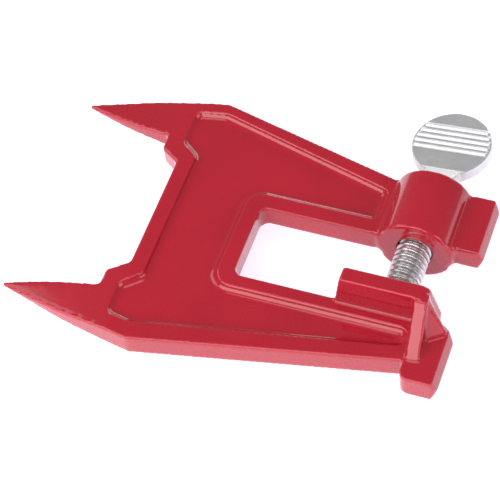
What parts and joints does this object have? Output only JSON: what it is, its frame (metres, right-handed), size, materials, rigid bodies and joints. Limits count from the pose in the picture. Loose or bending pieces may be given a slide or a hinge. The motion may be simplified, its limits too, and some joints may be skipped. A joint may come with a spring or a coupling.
{
  "type": "stump vise",
  "caption": "Cast frame with two spikes and a C-shaped slot; a thumb screw with a swivel pad presses a saw guide bar against the fixed jaw.",
  "frame": {"origin": "where the clamp screw's axis meets the fixed jaw's face", "axes": "+X from the spikes to the open mouth of the slot, +Y along the screw from the fixed jaw to the thumb disc, +Z normal to the flat frame"},
  "size_m": [0.1548, 0.1236, 0.0352],
  "materials": {
    "red_paint": "gloss",
    "plated_steel": "bright",
    "satin_zinc": "satin"
  },
  "bodies": {
    "frame": {"cast_frame": "red_paint"},
    "pad": {"pressure_pad": "plated_steel"},
    "thumb_screw": {"clamp_screw": "plated_steel", "thumb_disc": "satin_zinc"}
  },
  "joints": [
    {"name": "screw_feed", "type": "slide", "parent": "frame", "child": "pad", "axis": [0, -1, 0], "range_m": [-0.0174, 0.0029]},
    {"name": "screw_turn", "type": "hinge", "parent": "pad", "child": "thumb_screw", "pos_m": [0, 0.05, 0], "axis": [0, -1, 0], "range_deg": [-2723.5, 453.9]}
  ],
  "couplings": [
    {"joint": "screw_turn", "follows": "screw_feed", "rad_per_m": 2731.8}
  ]
}
